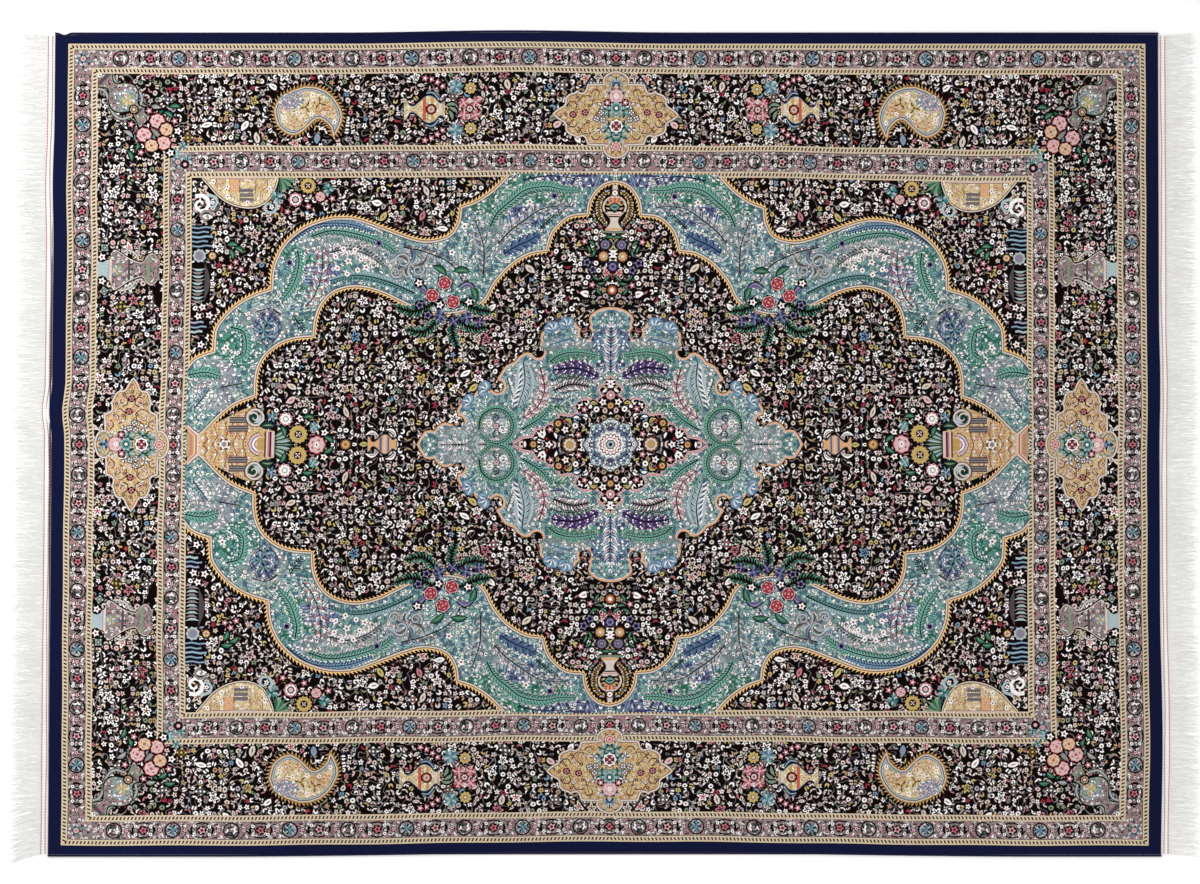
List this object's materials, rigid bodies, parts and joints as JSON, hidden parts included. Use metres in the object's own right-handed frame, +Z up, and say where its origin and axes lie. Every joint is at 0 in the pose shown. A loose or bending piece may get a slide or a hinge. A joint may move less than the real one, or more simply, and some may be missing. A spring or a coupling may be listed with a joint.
{
  "type": "persian rug",
  "caption": "Rectangular hand-knotted carpet lying flat, with overcast long edges and a kilim strip and cotton fringe at each short end.",
  "frame": {"origin": "on the floor, under the middle of the rug with its fringes", "axes": "+X along the rug's length, +Y across it, +Z up out of the pile"},
  "size_m": [4.296, 2.9931, 0.009],
  "materials": {
    "pile": "cropped wool and silk pile, many colours on a near-black ground",
    "selvedge": "navy wool wrapped round the edge cord",
    "warp_cotton": "undyed matt cotton"
  },
  "bodies": {
    "root": {"knotted_body": "pile", "selvedge_upper": "selvedge", "selvedge_lower": "selvedge", "fringe_left": "warp_cotton", "fringe_right": "warp_cotton"}
  },
  "joints": []
}
